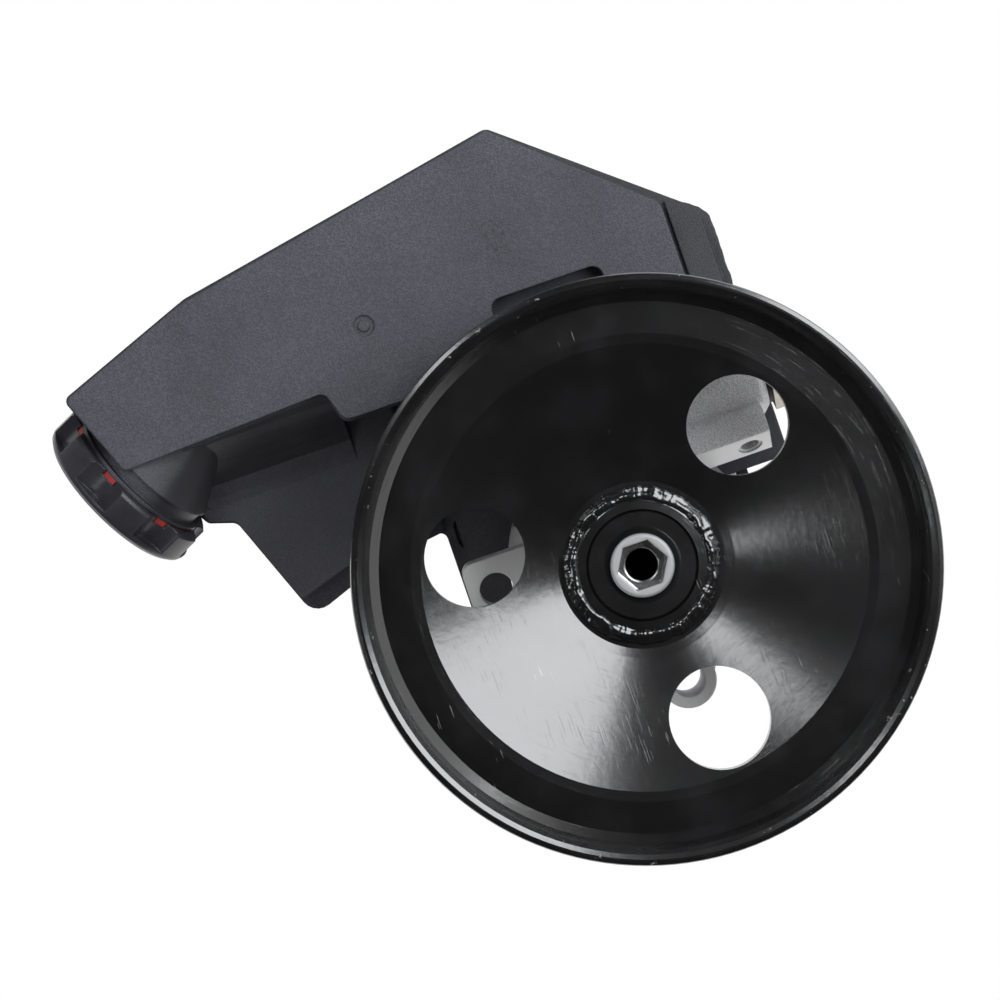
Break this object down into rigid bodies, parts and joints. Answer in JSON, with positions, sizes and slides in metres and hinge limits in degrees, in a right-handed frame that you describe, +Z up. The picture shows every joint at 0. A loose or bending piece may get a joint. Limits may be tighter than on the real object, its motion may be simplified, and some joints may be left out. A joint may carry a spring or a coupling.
{
  "type": "power steering pump",
  "caption": "Belt-driven vane pump with a stamped grooved pulley, a cast housing and a welded black plastic fluid reservoir with a lobed screw cap.",
  "frame": {"origin": "on the shaft's axis at the shaft's front end", "axes": "+Y along the shaft from the pulley to the rear, +Z up towards the filler cap, +X towards the reservoir"},
  "size_m": [0.1996, 0.132, 0.2139],
  "materials": {
    "black_paint": "gloss black paint, fine swirl marks",
    "bright_steel": "ground and turned steel",
    "hard_steel": "hardened steel, oiled",
    "spring_steel": "spring steel",
    "cast_aluminium": "grainy die casting with machined faces",
    "bronze": "sintered bronze",
    "zinc_steel": "zinc-plated steel",
    "tank_plastic": "black nylon with a fine moulded grain",
    "cap_plastic": "black nylon, satin",
    "red_rubber": "red silicone rubber",
    "black_rubber": "black rubber"
  },
  "bodies": {
    "pump": {"pump_housing": "cast_aluminium", "valve_housing": "cast_aluminium", "shaft_bushing": "bronze", "shaft_seal": "black_rubber", "thrust_plate": "hard_steel", "cam_ring": "hard_steel", "pressure_plate": "hard_steel", "alignment_dowels": "hard_steel", "pressure_plate_seal": "black_rubber", "pressure_plate_spring": "spring_steel", "end_cover": "hard_steel", "end_cover_seal": "black_rubber", "end_cover_retaining_ring": "spring_steel", "flow_control_spring": "spring_steel", "outlet_fitting": "zinc_steel", "outlet_fitting_seal": "black_rubber", "reservoir_front": "tank_plastic", "reservoir_rear": "tank_plastic", "feed_port_seal": "black_rubber", "reservoir_clip_upper": "zinc_steel", "reservoir_clip_lower": "zinc_steel"},
    "drive": {"pulley": "black_paint", "pulley_hub": "black_paint", "drive_shaft": "bright_steel", "rotor": "hard_steel", "rotor_retaining_ring": "spring_steel"},
    "vane_1": {"vane_1": "hard_steel"},
    "vane_2": {"vane_2": "hard_steel"},
    "vane_3": {"vane_3": "hard_steel"},
    "vane_4": {"vane_4": "hard_steel"},
    "vane_5": {"vane_5": "hard_steel"},
    "vane_6": {"vane_6": "hard_steel"},
    "vane_7": {"vane_7": "hard_steel"},
    "vane_8": {"vane_8": "hard_steel"},
    "vane_9": {"vane_9": "hard_steel"},
    "vane_10": {"vane_10": "hard_steel"},
    "flow_valve": {"flow_control_valve": "hard_steel"},
    "cap_seal": {"cap_gasket": "red_rubber"},
    "cap": {"filler_cap": "cap_plastic", "dipstick": "cap_plastic"}
  },
  "joints": [
    {"name": "shaft_spin", "type": "hinge", "parent": "pump", "child": "drive", "pos_m": [0, 0, 0], "axis": [0, -1, 0], "continuous": true},
    {"name": "vane_1_slide", "type": "slide", "parent": "drive", "child": "vane_1", "axis": [1, 0, 0], "range_m": [-0.0015, 0]},
    {"name": "vane_2_slide", "type": "slide", "parent": "drive", "child": "vane_2", "axis": [0.809, 0, 0.5878], "range_m": [-0.0015, 0]},
    {"name": "vane_3_slide", "type": "slide", "parent": "drive", "child": "vane_3", "axis": [0.309, 0, 0.9511], "range_m": [-0.0015, 0]},
    {"name": "vane_4_slide", "type": "slide", "parent": "drive", "child": "vane_4", "axis": [-0.309, 0, 0.9511], "range_m": [-0.0015, 0]},
    {"name": "vane_5_slide", "type": "slide", "parent": "drive", "child": "vane_5", "axis": [-0.809, 0, 0.5878], "range_m": [-0.0015, 0]},
    {"name": "vane_6_slide", "type": "slide", "parent": "drive", "child": "vane_6", "axis": [-1, 0, 0], "range_m": [-0.0015, 0]},
    {"name": "vane_7_slide", "type": "slide", "parent": "drive", "child": "vane_7", "axis": [-0.809, 0, -0.5878], "range_m": [-0.0015, 0]},
    {"name": "vane_8_slide", "type": "slide", "parent": "drive", "child": "vane_8", "axis": [-0.309, 0, -0.9511], "range_m": [-0.0015, 0]},
    {"name": "vane_9_slide", "type": "slide", "parent": "drive", "child": "vane_9", "axis": [0.309, 0, -0.9511], "range_m": [-0.0015, 0]},
    {"name": "vane_10_slide", "type": "slide", "parent": "drive", "child": "vane_10", "axis": [0.809, 0, -0.5878], "range_m": [-0.0015, 0]},
    {"name": "flow_valve_slide", "type": "slide", "parent": "pump", "child": "flow_valve", "axis": [0, 0, 1], "range_m": [0, 0.01], "stiffness_N_per_m": 3000, "springref_m": -0.004, "deforming": ["flow_control_spring"]},
    {"name": "cap_lift", "type": "slide", "parent": "pump", "child": "cap_seal", "axis": [-0.4134, 0.2079, 0.8865], "range_m": [0, 0.09]},
    {"name": "cap_twist", "type": "hinge", "parent": "cap_seal", "child": "cap", "pos_m": [0.0649, 0.033, 0.1203], "axis": [-0.4134, 0.2079, 0.8865], "range_deg": [0, 90]}
  ]
}
